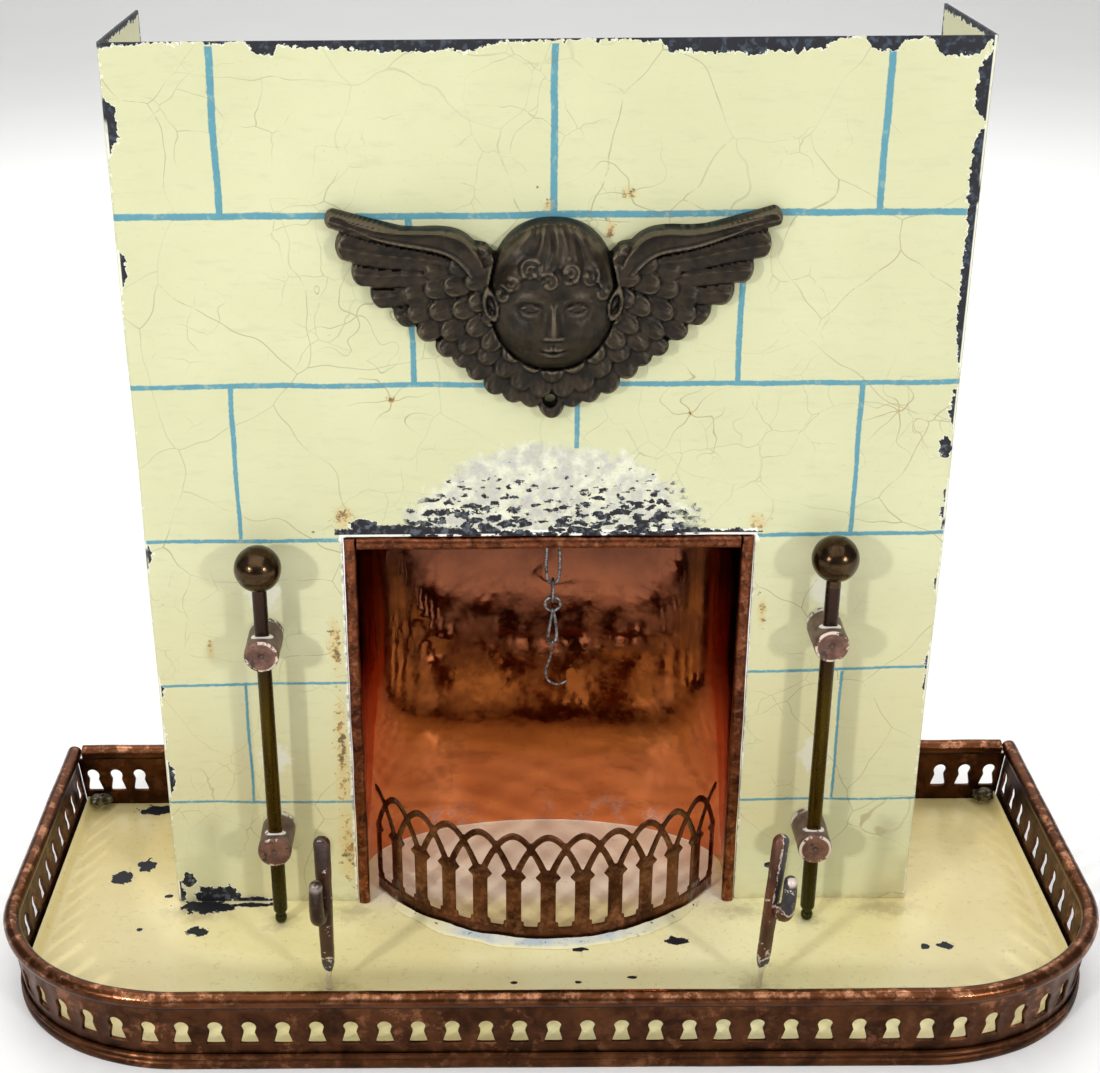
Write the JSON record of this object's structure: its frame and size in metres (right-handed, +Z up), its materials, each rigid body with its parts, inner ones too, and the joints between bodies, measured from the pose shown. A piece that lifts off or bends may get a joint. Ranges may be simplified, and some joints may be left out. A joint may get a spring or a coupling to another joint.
{
  "type": "miniature fireplace mantel",
  "caption": "Miniature tiled fireplace: chimney breast with a copper firebox, pierced fender round the hearth, bowed grate, side posts, winged cherub ornament and a kettle chain.",
  "frame": {"origin": "on the table, under the middle of the hearth", "axes": "+Z up; +X to the right of someone facing the fireplace; +Y from that person to the back"},
  "size_m": [0.305, 0.1274, 0.255],
  "materials": {
    "cream_enamel": "cream enamel paint with a faint green cast, crazed, chipped to bare tin along the edges, with blue-green tile lines",
    "hearth_enamel": "thick yellowed cream enamel, glossy, rippled at the sides, with small chips",
    "curb_enamel": "thin bluish white enamel over copper, worn",
    "dark_copper": "copper strip darkened to mottled brown, brighter where it is rubbed",
    "grate_copper": "stamped copper, brown in the hollows and pink-gold on the raised arches",
    "firebox_copper": "copper sheet with orange and brown heat colours and dark upright streaks",
    "trim_copper": "half-round copper bead with dark patina and bright rubbed crest",
    "bronze": "dark bronze casting, lighter on the high points",
    "brown_brass": "brass darkened to brown, polished by handling",
    "boss_paint": "copper brown paint over metal, pale where the rim is chipped",
    "steel_wire": "dull grey steel wire",
    "solder": "grey lumpy solder"
  },
  "bodies": {
    "root": {"hearth_tray": "hearth_enamel", "chimney_breast": "cream_enamel", "firebox_lining": "firebox_copper", "firebox_ceiling": "firebox_copper", "opening_trim_left": "trim_copper", "opening_trim_right": "trim_copper", "opening_trim_top": "trim_copper", "grate": "grate_copper", "grate_curb": "curb_enamel", "gallery_front": "dark_copper", "base_moulding": "dark_copper", "rim_front": "dark_copper", "gallery_back_left": "dark_copper", "rim_back_left": "dark_copper", "corner_solder_left": "solder", "gallery_back_right": "dark_copper", "rim_back_right": "dark_copper", "corner_solder_right": "solder", "ornament": "bronze", "post_rod_left": "brown_brass", "post_ball_left": "brown_brass", "post_boss_upper_left": "boss_paint", "post_boss_lower_left": "boss_paint", "post_rod_right": "brown_brass", "post_ball_right": "brown_brass", "post_boss_upper_right": "boss_paint", "post_boss_lower_right": "boss_paint", "tool_rest_left": "dark_copper", "tool_rest_hook_left": "dark_copper", "tool_rest_right": "dark_copper", "tool_rest_hook_right": "dark_copper", "chain_staple": "steel_wire"},
    "upper_link": {"chain_link_upper": "steel_wire"},
    "middle_link": {"chain_link_middle": "steel_wire"},
    "ring": {"chain_ring": "steel_wire"},
    "lower_link": {"chain_link_lower": "steel_wire"},
    "hook": {"kettle_hook": "steel_wire"}
  },
  "joints": [
    {"name": "upper_link_swing", "type": "hinge", "parent": "root", "child": "upper_link", "pos_m": [0.0017, 0.0168, 0.1184], "axis": [0, 1, 0], "range_deg": [-50, 50]},
    {"name": "middle_link_swing", "type": "hinge", "parent": "upper_link", "child": "middle_link", "pos_m": [0.0017, 0.0168, 0.1046], "axis": [1, 0, 0], "range_deg": [-50, 50]},
    {"name": "ring_swing", "type": "hinge", "parent": "middle_link", "child": "ring", "pos_m": [0.0017, 0.0168, 0.0991], "axis": [0, 1, 0], "range_deg": [-50, 50]},
    {"name": "lower_link_swing", "type": "hinge", "parent": "ring", "child": "lower_link", "pos_m": [0.0017, 0.0168, 0.096], "axis": [1, 0, 0], "range_deg": [-50, 50]},
    {"name": "hook_swing", "type": "hinge", "parent": "lower_link", "child": "hook", "pos_m": [0.0017, 0.0168, 0.0856], "axis": [1, 0, 0], "range_deg": [-50, 50]}
  ]
}
